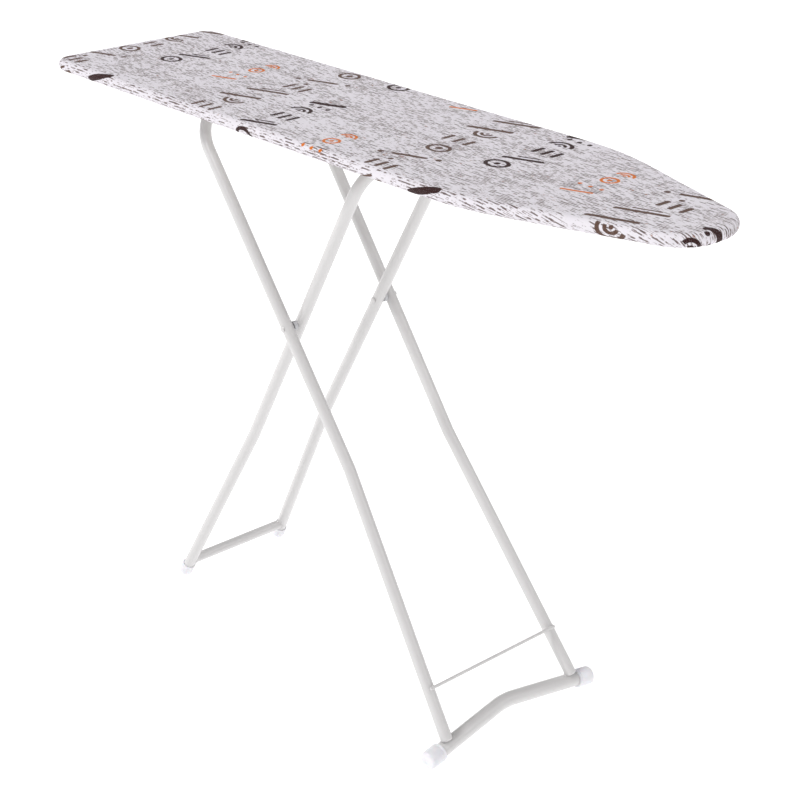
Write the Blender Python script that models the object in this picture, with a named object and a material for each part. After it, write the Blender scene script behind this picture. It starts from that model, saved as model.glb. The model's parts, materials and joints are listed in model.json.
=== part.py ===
"""Folding ironing board: padded board, two crossed tube frames, height rack and release bail.

Metres, +Z up, nose of the board along +X, floor at z = 0.
"""
import math

import bmesh
import bpy
from mathutils import Matrix, Vector

GAP = 0.0003
SIDES = 16

# Board outline
HALF_LENGTH = 0.6024
HALF_WIDTH = 0.1524
TAPER_X = 0.3158
NOSE_HALF = 0.0561
TAIL_RADIUS = 0.030
TAPER_RADIUS = 0.40
NOSE_RADIUS = 0.066

# Board layers
TOP_Z = 0.850
EDGE_Z = 0.841
EDGE_R = 0.009
COVER_T = 0.001
PAD_T = 0.005
PAD_SKIRT = -18
SHEET_TOP = 0.8434
HEM_INSET = 0.026
ELASTIC_INSET = 0.0278
ELASTIC_R = 0.0011
SHEET_UNDER = 0.8425
RIM_Z = 0.8340
RIB_TOP = SHEET_UNDER - GAP
RIB_BOTTOM = 0.8337
RIB_WALL = 0.001

# Leg frames; s runs down a leg from the pivot
PIVOT_X = -0.0898
PIVOT_Z = 0.5388
OUTER_ANGLE = math.radians(53.2)
INNER_ANGLE = math.radians(61.25)
TUBE_R = 0.009
TUBE_WALL = 0.0012
OUTER_TOP = -0.352
OUTER_BEND = 0.225
OUTER_END = 0.637
OUTER_U_RADIUS = 0.065
OUTER_HALF = (0.1035, 0.0979, 0.1288)
INNER_TOP = -0.318
INNER_BEND = 0.2573
INNER_END = 0.597
INNER_U_RADIUS = 0.060
INNER_HALF = (0.0782, 0.0731, 0.0985)

# Foot bar of the outer frame
BAR_R = 0.011
BAR_WALL = 0.0012
BAR_X = 0.2762
BAR_Z = 0.0333
BAR_DX = 0.0935
BAR_DZ = -0.1250
BAR_BEND = 0.12
BAR_END_Y = 0.1640
CAP_R = 0.014
CAP_INNER_Y = 0.1400
CAP_OUTER_Y = 0.1680

# Feet and cross members of the inner frame
TIP_R = 0.0108
TIP_RIM_S = 0.5880
TIP_CENTRE_S = 0.6037
CROSSBAR_S = 0.5790
CROSSBAR_R = 0.008
BRACE_R = 0.0024
BRACE_S = 0.5590

# Pivot
PIN_R = 0.003
PIN_HOLE_R = 0.0033
SPACER_R = 0.007

# Rack and release bail
RACK_TAIL_X = -0.0267
RACK_NOSE_X = 0.4107
RACK_EAR_X = 0.3900
RACK_HALF = 0.015
RACK_WALL = 0.0015
RACK_TOP_Z = 0.8421
RACK_EDGE_Z = 0.8335
RACK_EAR_Z = 0.8125
NOTCH_DEPTH = 0.005
NOTCH_R = 0.0096
NOTCH_COUNT = 6
BAIL_R = 0.0024
BAIL_HALF = 0.0095
BAIL_PIVOT = (0.4020, 0.8185)
BAIL_RUN_Z = 0.8045
BAIL_LOOP_X = -0.0420
TIE_X = 0.0180


def material(name, colour, metallic, roughness):
    mat = bpy.data.materials.new(name)
    mat.use_nodes = True
    shader = mat.node_tree.nodes["Principled BSDF"]
    shader.inputs["Base Color"].default_value = (*colour, 1.0)
    shader.inputs["Metallic"].default_value = metallic
    shader.inputs["Roughness"].default_value = roughness
    return mat


def emit(name, bm, mat):
    bmesh.ops.remove_doubles(bm, verts=bm.verts, dist=1e-6)
    bmesh.ops.recalc_face_normals(bm, faces=bm.faces)
    mesh = bpy.data.meshes.new(name)
    bm.to_mesh(mesh)
    bm.free()
    obj = bpy.data.objects.new(name, mesh)
    bpy.context.scene.collection.objects.link(obj)
    if mat is not None:
        mesh.materials.append(mat)
        mesh.shade_smooth()
        mesh.set_sharp_from_angle(angle=math.radians(35))
    return obj


def carve(obj, cutters):
    """Subtract closed cutter objects, keep the result as the mesh and remove the cutters."""
    for cutter in cutters:
        mod = obj.modifiers.new(cutter.name, "BOOLEAN")
        mod.operation = "DIFFERENCE"
        mod.solver = "EXACT"
        mod.object = cutter
    graph = bpy.context.evaluated_depsgraph_get()
    result = bpy.data.meshes.new_from_object(obj.evaluated_get(graph))
    obj.modifiers.clear()
    old = obj.data
    name = old.name
    obj.data = result
    bpy.data.meshes.remove(old)
    obj.data.name = name
    for cutter in cutters:
        bpy.data.objects.remove(cutter, do_unlink=True)
    obj.data.shade_smooth()
    obj.data.set_sharp_from_angle(angle=math.radians(35))
    return obj


def rounded(points, radii, segments):
    """Polyline whose inner corners are replaced by arcs of the given radii."""
    points = [Vector(p) for p in points]
    path = [points[0]]
    for i in range(1, len(points) - 1):
        here = points[i]
        before = (points[i - 1] - here).normalized()
        after = (points[i + 1] - here).normalized()
        turn = math.pi - before.angle(after)
        reach = radii[i - 1] * math.tan(turn / 2)
        bisector = (before + after).normalized()
        centre = here + bisector * (radii[i - 1] / math.cos(turn / 2))
        start = here + before * reach - centre
        axis = start.cross(here + after * reach - centre).normalized()
        for k in range(segments[i - 1] + 1):
            spin = Matrix.Rotation(turn * k / segments[i - 1], 3, axis)
            path.append(centre + spin @ start)
    path.append(points[-1])
    return path


def rings(bm, path, radius, sides, closed):
    count = len(path)
    tangents = []
    for i in range(count):
        nxt = path[(i + 1) % count] if closed or i < count - 1 else path[i]
        prv = path[i - 1] if closed or i > 0 else path[i]
        a = (nxt - path[i]).normalized() if nxt != path[i] else Vector()
        b = (path[i] - prv).normalized() if prv != path[i] else Vector()
        tangents.append((a + b).normalized())
    side = tangents[0].orthogonal().normalized()
    if abs(tangents[0].z) < 0.9:
        side = tangents[0].cross(Vector((0, 0, 1))).normalized()
    out = []
    for i in range(count):
        if i:
            side = tangents[i - 1].rotation_difference(tangents[i]) @ side
        up = tangents[i].cross(side)
        ring = []
        for k in range(sides):
            a = 2 * math.pi * (k + 0.5) / sides
            ring.append(bm.verts.new(path[i] + radius * (math.cos(a) * side + math.sin(a) * up)))
        out.append(ring)
    return out


def skin(bm, loops, closed):
    last = len(loops) if closed else len(loops) - 1
    for i in range(last):
        a = loops[i]
        b = loops[(i + 1) % len(loops)]
        for k in range(len(a)):
            j = (k + 1) % len(a)
            bm.faces.new((a[k], a[j], b[j], b[k]))


def rod(name, path, radius, mat, sides=SIDES, closed=False):
    bm = bmesh.new()
    loops = rings(bm, path, radius, sides, closed)
    skin(bm, loops, closed)
    if not closed:
        bm.faces.new(loops[0])
        bm.faces.new(loops[-1])
    return emit(name, bm, mat)


def pipe(name, path, radius, wall, mat, sides=SIDES):
    bm = bmesh.new()
    outer = rings(bm, path, radius, sides, False)
    inner = rings(bm, path, radius - wall, sides, False)
    skin(bm, outer, False)
    skin(bm, inner, False)
    for a, b in ((outer[0], inner[0]), (outer[-1], inner[-1])):
        skin(bm, [a, b], False)
    return emit(name, bm, mat)


def lathe(name, profile, origin, axis, mat, sides=20, ring=False):
    """Turn a (distance, radius) profile about an axis; ring = closed loop with no pole."""
    bm = bmesh.new()
    axis = Vector(axis).normalized()
    side = axis.orthogonal().normalized()
    up = axis.cross(side)
    loops = []
    for t, r in profile:
        loop = []
        for k in range(sides):
            a = 2 * math.pi * k / sides
            loop.append(bm.verts.new(Vector(origin) + axis * t
                                     + r * (math.cos(a) * side + math.sin(a) * up)))
        loops.append(loop)
    skin(bm, loops, ring)
    if not ring:
        bm.faces.new(loops[0])
        bm.faces.new(loops[-1])
    return emit(name, bm, mat)


def prism(name, outline, place, depth, mat):
    """Extrude a 2-D outline; place maps (u, v, w) to a world point, w runs -depth..depth."""
    bm = bmesh.new()
    ends = []
    for w in (-depth, depth):
        ends.append([bm.verts.new(place(u, v, w)) for u, v in outline])
    skin(bm, ends, False)
    bm.faces.new(ends[0])
    bm.faces.new(ends[1])
    return emit(name, bm, mat)


def block(name, low, high, mat=None):
    outline = ((low[0], low[2]), (high[0], low[2]), (high[0], high[2]), (low[0], high[2]))
    mid = (low[1] + high[1]) / 2
    return prism(name, outline, lambda u, v, w: (u, mid + w, v), (high[1] - low[1]) / 2, mat)


def trim_floor(obj):
    bm = bmesh.new()
    bm.from_mesh(obj.data)
    geom = bm.verts[:] + bm.edges[:] + bm.faces[:]
    cut = bmesh.ops.bisect_plane(bm, geom=geom, dist=1e-7, plane_co=(0, 0, 0),
                                 plane_no=(0, 0, -1), clear_outer=True)
    edges = [e for e in cut["geom_cut"] if isinstance(e, bmesh.types.BMEdge)]
    bmesh.ops.holes_fill(bm, edges=edges)
    bmesh.ops.recalc_face_normals(bm, faces=bm.faces)
    bm.to_mesh(obj.data)
    bm.free()


# ---------------------------------------------------------------- board outline

def half_width(x):
    if x <= TAPER_X:
        return HALF_WIDTH
    return HALF_WIDTH - (x - TAPER_X) * (HALF_WIDTH - NOSE_HALF) / (HALF_LENGTH - TAPER_X)


def outline():
    """Points and outward normals round the board, one list entry per vertex."""
    corners = [(-HALF_LENGTH, -HALF_WIDTH, TAIL_RADIUS, 6), (TAPER_X, -HALF_WIDTH, TAPER_RADIUS, 2),
               (HALF_LENGTH, -NOSE_HALF, NOSE_RADIUS, 7), (HALF_LENGTH, NOSE_HALF, NOSE_RADIUS, 7),
               (TAPER_X, HALF_WIDTH, TAPER_RADIUS, 2), (-HALF_LENGTH, HALF_WIDTH, TAIL_RADIUS, 6)]
    result = []
    count = len(corners)
    for i, (x, y, radius, steps) in enumerate(corners):
        here = Vector((x, y))
        before = (Vector(corners[i - 1][:2]) - here).normalized()
        after = (Vector(corners[(i + 1) % count][:2]) - here).normalized()
        turn = math.pi - before.angle(after)
        centre = here + (before + after).normalized() * radius / math.cos(turn / 2)
        first = (here + before * radius * math.tan(turn / 2) - centre).normalized()
        base = math.atan2(first.y, first.x)
        for k in range(steps + 1):
            a = base + turn * k / steps
            normal = Vector((math.cos(a), math.sin(a)))
            result.append((centre + radius * normal, normal))
    return result


def loft(name, profile, mat, ring=False):
    """Sweep an (inset, z) profile round the outline; without ring the two ends are capped."""
    bm = bmesh.new()
    shape = outline()
    loops = []
    for inset, z in profile:
        loop = []
        for point, normal in shape:
            p = point - normal * inset
            loop.append(bm.verts.new((p.x, p.y, z)))
        loops.append(loop)
    skin(bm, loops, ring)
    if not ring:
        bm.faces.new(loops[0])
        bm.faces.new(loops[-1])
    return emit(name, bm, mat)


def edge_arc(radius, start, stop, steps):
    """Arc of the board's rounded edge; 90 = top, 0 = outermost, -90 = bottom."""
    arc = []
    for k in range(steps + 1):
        a = math.radians(start + (stop - start) * k / steps)
        arc.append((EDGE_R - radius * math.cos(a), EDGE_Z + radius * math.sin(a)))
    return arc


def build_cover(mat):
    outer = edge_arc(EDGE_R, 90, -90, 8) + [(HEM_INSET, EDGE_Z - EDGE_R)]
    inner_r = EDGE_R - COVER_T
    inner = [(HEM_INSET, EDGE_Z - inner_r)] + edge_arc(inner_r, -90, 90, 8)
    return loft("fabric_cover", outer + inner, mat)


def build_pad(mat):
    outer_r = EDGE_R - COVER_T - GAP
    inner_r = outer_r - PAD_T
    outer = edge_arc(outer_r, 90, PAD_SKIRT, 6)
    skirt = outer[-1][1]
    inner = [(EDGE_R - inner_r, skirt)] + edge_arc(inner_r, 0, 90, 3)
    return loft("foam_pad", outer + inner, mat)


def build_sheet(mat):
    edge = [(EDGE_R, SHEET_TOP), (0.0080, SHEET_TOP - 0.0003), (0.0072, SHEET_UNDER)]
    return loft("mesh_top", edge, mat)


def build_rim(mat):
    near = 0.0068
    far = 0.0106
    section = [(near, RIM_Z), (near, 0.8412), (0.0073, RIB_TOP), (far, RIB_TOP), (far, RIM_Z)]
    return loft("rim_frame", section, mat, ring=True)


def build_elastic(mat):
    z = EDGE_Z - EDGE_R + 0.0005
    path = []
    for point, normal in outline():
        p = point - normal * ELASTIC_INSET
        path.append(Vector((p.x, p.y, z)))
    return rod("cover_elastic", path, ELASTIC_R, mat, sides=5, closed=True)


def build_rib(name, x, width, mat):
    """Channel across the board, open side up, flat side down."""
    half = half_width(x + width / 2) - 0.0116
    a = width / 2
    b = a - RIB_WALL
    floor = RIB_BOTTOM + RIB_WALL
    section = ((-a, RIB_BOTTOM), (a, RIB_BOTTOM), (a, RIB_TOP), (b, RIB_TOP), (b, floor),
               (-b, floor), (-b, RIB_TOP), (-a, RIB_TOP))
    return prism(name, section, lambda u, v, w: (x + u, w, v), half, mat)


# ---------------------------------------------------------------- leg frames

def on_outer(s, y, lift=0.0):
    return Vector((PIVOT_X + s * math.cos(OUTER_ANGLE) + lift * math.sin(OUTER_ANGLE), y,
                   PIVOT_Z - s * math.sin(OUTER_ANGLE) + lift * math.cos(OUTER_ANGLE)))


def on_inner(s, y):
    return Vector((PIVOT_X - s * math.cos(INNER_ANGLE), y, PIVOT_Z - s * math.sin(INNER_ANGLE)))


def leg_half(s, bend, end, half):
    return half[1] + (half[2] - half[1]) * (s - bend) / (end - bend)


def frame_path(place, top, bend, end, half, u_radius):
    points = [place(end, -half[2]), place(bend, -half[1]), place(top, -half[0]),
              place(top, half[0]), place(bend, half[1]), place(end, half[2])]
    return rounded(points, [0.12, u_radius, u_radius, 0.12], [2, 7, 7, 2])


def at_pivot(top, bend, half):
    return half[0] + (half[1] - half[0]) * (0 - top) / (bend - top)


OUTER_PIVOT_Y = at_pivot(OUTER_TOP, OUTER_BEND, OUTER_HALF)
INNER_PIVOT_Y = at_pivot(INNER_TOP, INNER_BEND, INNER_HALF)


def pin_cutter(name):
    return rod(name, [Vector((PIVOT_X, -0.14, PIVOT_Z)), Vector((PIVOT_X, 0.14, PIVOT_Z))],
               PIN_HOLE_R, None, sides=12)


def bar_path(reach):
    ends = []
    for sign in (-1, 1):
        ends.append(Vector((BAR_X + BAR_DX * reach, sign * reach, BAR_Z + BAR_DZ * reach)))
    return rounded([ends[0], Vector((BAR_X, 0, BAR_Z)), ends[1]], [BAR_BEND], [6])


def build_outer_frame(metal, dark, plastic):
    path = frame_path(on_outer, OUTER_TOP, OUTER_BEND, OUTER_END, OUTER_HALF, OUTER_U_RADIUS)
    legs = pipe("outer_leg_tube", path, TUBE_R, TUBE_WALL, metal)
    carve(legs, [rod("cut_bar", bar_path(0.175), BAR_R + GAP, None), pin_cutter("cut_pin")])
    pipe("outer_foot_bar", bar_path(BAR_END_Y), BAR_R, BAR_WALL, metal)
    brace_half = leg_half(BRACE_S, OUTER_BEND, OUTER_END, OUTER_HALF) + 0.002
    lift = TUBE_R + BRACE_R + GAP
    rod("brace_rod", [on_outer(BRACE_S, -brace_half, lift), on_outer(BRACE_S, brace_half, lift)],
        BRACE_R, metal, sides=10)
    for side, sign in (("left", 1), ("right", -1)):
        build_cap(side, sign, plastic)
        build_pin(side, sign, metal)
        build_spacer(side, sign, dark)


def build_cap(side, sign, mat):
    axis = Vector((BAR_DX, sign, BAR_DZ)).normalized()
    scale = axis.y * sign
    origin = Vector((BAR_X, 0, BAR_Z))
    start = CAP_INNER_Y / scale
    stop = CAP_OUTER_Y / scale
    floor = BAR_END_Y / scale + GAP
    bore = BAR_R + GAP
    profile = [(floor, 0.0004), (floor, bore), (start, bore), (start, CAP_R - 0.0008),
               (start + 0.0008, CAP_R), (stop - 0.0035, CAP_R), (stop - 0.0012, CAP_R - 0.0010),
               (stop, CAP_R - 0.0036), (stop, 0.0004)]
    cap = lathe("outer_foot_cap_" + side, profile, origin, axis, mat, sides=24)
    trim_floor(cap)
    return cap


def build_pin(side, sign, mat):
    inner = INNER_PIVOT_Y - TUBE_R - GAP
    outer = OUTER_PIVOT_Y + TUBE_R + GAP
    profile = [(inner - 0.0016, 0.0032), (inner - 0.0008, 0.0046), (inner, 0.0046), (inner, PIN_R),
               (outer, PIN_R), (outer, 0.0044), (outer + 0.0006, 0.0041), (outer + 0.0011, 0.0022)]
    origin = Vector((PIVOT_X, 0, PIVOT_Z))
    return lathe("pivot_pin_" + side, profile, origin, (0, sign, 0), mat, sides=16)


def build_spacer(side, sign, mat):
    low = INNER_PIVOT_Y + TUBE_R + GAP
    high = OUTER_PIVOT_Y - TUBE_R - GAP
    profile = [(low, PIN_HOLE_R), (low, SPACER_R), (high, SPACER_R), (high, PIN_HOLE_R)]
    origin = Vector((PIVOT_X, 0, PIVOT_Z))
    return lathe("pivot_spacer_" + side, profile, origin, (0, sign, 0), mat, ring=True)


def build_inner_frame(metal, plastic):
    path = frame_path(on_inner, INNER_TOP, INNER_BEND, INNER_END, INNER_HALF, INNER_U_RADIUS)
    legs = pipe("inner_leg_tube", path, TUBE_R, TUBE_WALL, metal)
    carve(legs, [pin_cutter("cut_pin")])
    half = leg_half(CROSSBAR_S, INNER_BEND, INNER_END, INNER_HALF)
    bar = rod("inner_crossbar", [on_inner(CROSSBAR_S, -half), on_inner(CROSSBAR_S, half)],
              CROSSBAR_R, metal)
    cutters = []
    for sign in (-1, 1):
        ends = [on_inner(INNER_BEND, sign * INNER_HALF[1]), on_inner(INNER_END, sign * INNER_HALF[2])]
        cutters.append(rod("cut_leg", ends, TUBE_R + GAP, None))
    carve(bar, cutters)
    for side, sign in (("left", 1), ("right", -1)):
        build_tip(side, sign, plastic)


def build_tip(side, sign, mat):
    slope = (INNER_HALF[2] - INNER_HALF[1]) / (INNER_END - INNER_BEND)
    reach = leg_half(TIP_CENTRE_S, INNER_BEND, INNER_END, INNER_HALF)
    origin = on_inner(TIP_CENTRE_S, sign * reach)
    axis = Vector((-math.cos(INNER_ANGLE), sign * slope, -math.sin(INNER_ANGLE)))
    rim = TIP_RIM_S - TIP_CENTRE_S
    floor = INNER_END + GAP - TIP_CENTRE_S
    bore = TUBE_R + GAP
    profile = [(floor, 0.0004), (floor, bore), (rim, bore), (rim, TIP_R - 0.0005),
               (rim + 0.0006, TIP_R), (0, TIP_R)]
    for a in (18, 36, 54, 72):
        angle = math.radians(a)
        profile.append((TIP_R * math.sin(angle), TIP_R * math.cos(angle)))
    tip = lathe("inner_foot_tip_" + side, profile, origin, axis, mat, sides=20)
    trim_floor(tip)
    return tip


# ---------------------------------------------------------------- hinge, rack, bail

def build_hinge(plastic, steel):
    x = on_outer(OUTER_TOP, 0).x
    z = on_outer(OUTER_TOP, 0).z
    bush_r = 0.0108
    strap = bush_r + GAP
    back = strap + 0.0012
    top = RIB_BOTTOM - GAP
    low = top - 0.0012
    wing = 0.0205
    outside = []
    inside = []
    for k in range(9):
        a = math.pi * k / 8
        outside.append((-back * math.cos(a), z - back * math.sin(a)))
        inside.append((strap * math.cos(a), z - strap * math.sin(a)))
    section = [(-wing, top), (-wing, low), (-back, low)] + outside + [(back, low), (wing, low),
                                                                      (wing, top), (strap, top)]
    section += inside + [(-strap, top)]
    number = 0
    for side, sign in (("left", 1), ("right", -1)):
        centre = sign * 0.0245
        bush = [(-0.0105, TUBE_R + GAP), (-0.0105, bush_r), (0.0105, bush_r),
                (0.0105, TUBE_R + GAP)]
        lathe("hinge_bush_" + side, bush, (x, centre, z), (0, 1, 0), plastic, sides=24, ring=True)
        clamp = prism("hinge_clamp_" + side, section,
                      lambda u, v, w, c=centre: (x + u, c + w, v), 0.0085, steel)
        holes = []
        for u in (-0.0165, 0.0165):
            number += 1
            holes.append(rod("cut_rivet", [Vector((x + u, centre, low - 0.004)),
                                           Vector((x + u, centre, top + 0.0006))],
                             0.0022, None, sides=12))
            build_rivet("hinge_rivet_%d" % number, x + u, centre, low, steel)
        carve(clamp, holes)


def build_rivet(name, x, y, under, mat):
    """Blind rivet: head below the clamp, shank through clamp and rib, tail head above."""
    rib_in = RIB_BOTTOM + RIB_WALL + GAP
    profile = [(under - 0.0017, 0.0016), (under - 0.0010, 0.0032), (under - GAP, 0.0036),
               (under - GAP, 0.0019), (rib_in, 0.0019), (rib_in, 0.0030),
               (rib_in + 0.0016, 0.0022)]
    return lathe(name, profile, (x, y, 0), (0, 0, 1), mat, sides=12)


def drill_rib(rib):
    x = on_outer(OUTER_TOP, 0).x
    cutters = []
    for y in (0.0245, -0.0245):
        for u in (-0.0165, 0.0165):
            cutters.append(rod("cut_rib", [Vector((x + u, y, RIB_BOTTOM - 0.001)),
                                           Vector((x + u, y, RIB_BOTTOM + 0.003))],
                               0.0022, None, sides=12))
    carve(rib, cutters)


def notch_positions():
    """Bar positions along the rack for evenly spaced board heights, tallest first."""
    hinge = on_outer(OUTER_TOP, 0)
    bar = on_inner(INNER_TOP, 0)
    drop = hinge.z - bar.z
    found = []
    for k in range(NOTCH_COUNT):
        rise = math.sin(OUTER_ANGLE) * (1 - 0.115 * k)
        outer = math.asin(rise)
        inner = math.asin((-OUTER_TOP * rise - drop) / -INNER_TOP)
        found.append(hinge.x - OUTER_TOP * math.cos(outer) - INNER_TOP * math.cos(inner))
    return found


def build_rack(mat):
    web = RACK_TOP_Z - RACK_WALL
    inner = RACK_HALF - RACK_WALL
    section = ((-RACK_HALF, RACK_EAR_Z), (-inner, RACK_EAR_Z), (-inner, web), (inner, web),
               (inner, RACK_EAR_Z), (RACK_HALF, RACK_EAR_Z), (RACK_HALF, RACK_TOP_Z),
               (-RACK_HALF, RACK_TOP_Z))
    middle = (RACK_TAIL_X + RACK_NOSE_X) / 2
    rack = prism("height_rack", section, lambda u, v, w: (middle + w, u, v),
                 (RACK_NOSE_X - RACK_TAIL_X) / 2, mat)
    cutters = [block("cut_edge", (RACK_TAIL_X - 0.01, -0.02, 0.80), (RACK_EAR_X, 0.02, RACK_EDGE_Z))]
    for x in notch_positions():
        z = RACK_EDGE_Z + NOTCH_DEPTH - NOTCH_R
        cutters.append(rod("cut_notch", [Vector((x, -0.02, z)), Vector((x, 0.02, z))],
                           NOTCH_R, None, sides=18))
    px, pz = BAIL_PIVOT
    cutters.append(rod("cut_ear", [Vector((px, -0.02, pz)), Vector((px, 0.02, pz))],
                       BAIL_R + GAP, None, sides=12))
    cutters.append(rod("cut_spring", [Vector((TIE_X, 0, web - 0.002)), Vector((TIE_X, 0, 0.845))],
                       0.0022, None, sides=10))
    return carve(rack, cutters)


def bail_path():
    px, pz = BAIL_PIVOT
    half = BAIL_HALF
    loop = BAIL_LOOP_X
    points = [(px, -0.0170, pz), (px, -half, pz), (px - 0.016, -half, BAIL_RUN_Z),
              (loop, -half, BAIL_RUN_Z), (loop, half, BAIL_RUN_Z), (px - 0.016, half, BAIL_RUN_Z),
              (px, half, pz), (px, 0.0170, pz)]
    radii = [0.0035, 0.006, 0.008, 0.008, 0.006, 0.0035]
    return rounded(points, radii, [3, 3, 4, 4, 3, 3])


def build_bail(steel, plastic):
    rod("release_bail", bail_path(), BAIL_R, steel, sides=10)
    reach = BAIL_HALF - BAIL_R - GAP
    rod("bail_tie", [Vector((TIE_X, -reach, BAIL_RUN_Z)), Vector((TIE_X, reach, BAIL_RUN_Z))],
        0.0018, steel, sides=10)
    half = BAIL_HALF + 0.0062
    tail = BAIL_LOOP_X - 0.0075
    front = BAIL_LOOP_X + 0.030
    shape = rounded([(front, 0, 0), (front, half, 0), (tail, half, 0), (tail, 0, 0)],
                    [0.006, 0.011], [3, 4])
    ring = [(p.x, p.y) for p in shape] + [(p.x, -p.y) for p in reversed(shape[1:-1])]
    z = BAIL_RUN_Z
    grip = prism("bail_grip", ring, lambda u, v, w: (u, v, z + w), 0.0052, plastic)
    bevel = grip.modifiers.new("edge", "BEVEL")
    bevel.width = 0.0016
    bevel.segments = 1
    bevel.limit_method = "ANGLE"
    bevel.angle_limit = math.radians(60)
    carve(grip, [rod("cut_wire", bail_path(), BAIL_R + GAP, None, sides=10)])


def build_spring(steel):
    """Extension spring from the rack's web down to the tie wire, with straight hooks."""
    wire = 0.0006
    coil = 0.0036
    turns = 8
    per_turn = 8
    high = 0.8350
    low = 0.8120
    path = [Vector((TIE_X, 0, RACK_TOP_Z - 0.0002)), Vector((TIE_X, 0, high + 0.0012))]
    for k in range(turns * per_turn + 1):
        a = 2 * math.pi * k / per_turn
        z = high + (low - high) * k / (turns * per_turn)
        path.append(Vector((TIE_X + coil * math.cos(a), coil * math.sin(a), z)))
    path.append(Vector((TIE_X, 0, low - 0.0012)))
    path.append(Vector((TIE_X, 0, BAIL_RUN_Z + 0.0018 + wire)))
    return rod("bail_spring", path, wire, steel, sides=5)


# ---------------------------------------------------------------- assembly

def set_axes():
    """Put the origin of every moving piece on its joint's axis."""
    hinge = on_outer(OUTER_TOP, 0)
    bail = Vector((BAIL_PIVOT[0], 0, BAIL_PIVOT[1]))
    axes = {"outer": hinge, "brace": hinge, "pivot": hinge, "inner": on_inner(0, 0),
            "release": bail, "bail": bail}
    for obj in bpy.data.objects:
        point = axes.get(obj.name.split("_")[0])
        if point is not None:
            obj.data.transform(Matrix.Translation(-point))
            obj.location = point


def build():
    for obj in list(bpy.data.objects):
        bpy.data.objects.remove(obj, do_unlink=True)
    coat = material("powder_coat_grey", (0.610, 0.597, 0.576), 0.0, 0.34)
    plastic = material("white_plastic", (0.755, 0.745, 0.800), 0.0, 0.38)
    fabric = material("cover_cotton", (0.672, 0.645, 0.687), 0.0, 0.85)
    foam = material("felt_padding", (0.780, 0.765, 0.720), 0.0, 0.95)
    zinc = material("zinc_plated_steel", (0.560, 0.570, 0.580), 1.0, 0.38)
    spring = material("spring_steel", (0.300, 0.300, 0.310), 1.0, 0.35)
    band = material("elastic_band", (0.800, 0.790, 0.770), 0.0, 0.80)
    nylon = material("grey_nylon", (0.552, 0.552, 0.571), 0.0, 0.45)
    build_sheet(coat)
    build_rim(coat)
    build_rib("rib_tail", -0.520, 0.026, coat)
    drill_rib(build_rib("rib_hinge", on_outer(OUTER_TOP, 0).x, 0.046, coat))
    build_rib("rib_middle", -0.040, 0.026, coat)
    build_rib("rib_nose", 0.424, 0.026, coat)
    build_rib("rib_tip", 0.530, 0.026, coat)
    build_pad(foam)
    build_cover(fabric)
    build_elastic(band)
    build_hinge(nylon, zinc)
    build_rack(zinc)
    build_bail(spring, plastic)
    build_spring(spring)
    build_outer_frame(coat, nylon, plastic)
    build_inner_frame(coat, plastic)
    set_axes()


build()
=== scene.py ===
"""Looks of the folding ironing board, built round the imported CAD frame.

Metres, +Z up, nose of the board along +X, floor at z = 0.
"""
import json
import math

import bmesh
import bpy
from mathutils import Matrix, Vector


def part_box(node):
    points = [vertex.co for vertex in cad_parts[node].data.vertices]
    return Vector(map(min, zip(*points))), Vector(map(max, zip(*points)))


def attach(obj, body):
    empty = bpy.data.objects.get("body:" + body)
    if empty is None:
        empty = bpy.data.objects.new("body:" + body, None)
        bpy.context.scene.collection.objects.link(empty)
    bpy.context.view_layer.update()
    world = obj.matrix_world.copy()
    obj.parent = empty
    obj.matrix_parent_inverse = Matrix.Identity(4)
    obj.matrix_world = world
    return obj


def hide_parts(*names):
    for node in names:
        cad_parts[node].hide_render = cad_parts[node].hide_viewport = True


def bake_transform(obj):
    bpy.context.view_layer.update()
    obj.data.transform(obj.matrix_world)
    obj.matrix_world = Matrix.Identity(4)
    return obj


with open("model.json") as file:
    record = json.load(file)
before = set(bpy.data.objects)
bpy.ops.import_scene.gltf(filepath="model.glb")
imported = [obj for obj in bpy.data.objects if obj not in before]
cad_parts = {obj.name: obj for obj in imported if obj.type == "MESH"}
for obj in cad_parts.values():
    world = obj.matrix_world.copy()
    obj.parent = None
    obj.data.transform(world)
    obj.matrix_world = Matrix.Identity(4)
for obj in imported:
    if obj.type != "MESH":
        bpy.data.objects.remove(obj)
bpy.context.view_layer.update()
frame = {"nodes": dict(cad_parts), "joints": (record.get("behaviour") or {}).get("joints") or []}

# Board, from the CAD cover's box
COVER_LOW, COVER_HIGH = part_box("fabric_cover")
HALF_LENGTH = COVER_HIGH.x
HALF_WIDTH = COVER_HIGH.y
TOP_Z = COVER_HIGH.z
EDGE_R = (COVER_HIGH.z - COVER_LOW.z) / 2
EDGE_Z = TOP_Z - EDGE_R
TAPER_X = 0.3158
NOSE_HALF = 0.0561
TAIL_RADIUS = 0.030
TAPER_RADIUS = 0.40
NOSE_RADIUS = 0.066
SIDE_STEP = 0.004
COLUMNS = 44

# Cloth
CLOTH_T = 0.0007
SOFT_DEPTH = 0.0004
EDGE_STEPS = 16
EDGE_SHARE = 0.12
HEM_INSET = 0.0262
HEM_STEPS = 8
CASING_R = 0.0016
CASING_STEPS = 7
CASING_TURN = 38
GATHER_SIDE = 0.0016
GATHER_CORNER = 0.0040
GATHER_PITCH = 0.0150
NOSE_GATHERS_X = 0.47
NOSE_GATHERS_RUN = 0.10
TAIL_GATHERS_X = 0.54
TAIL_GATHERS_RUN = 0.05
STITCH_INSET = 0.0222
STITCH_PITCH = 0.0040
STITCH_LENGTH = 0.0027
STITCH_R = 0.00028
ELASTIC_R = 0.0009
ELASTIC_GAP = 0.0006
PAD_GAP = 0.0002
PAD_T = 0.0050
THREAD_PITCH = 0.00075

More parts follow.
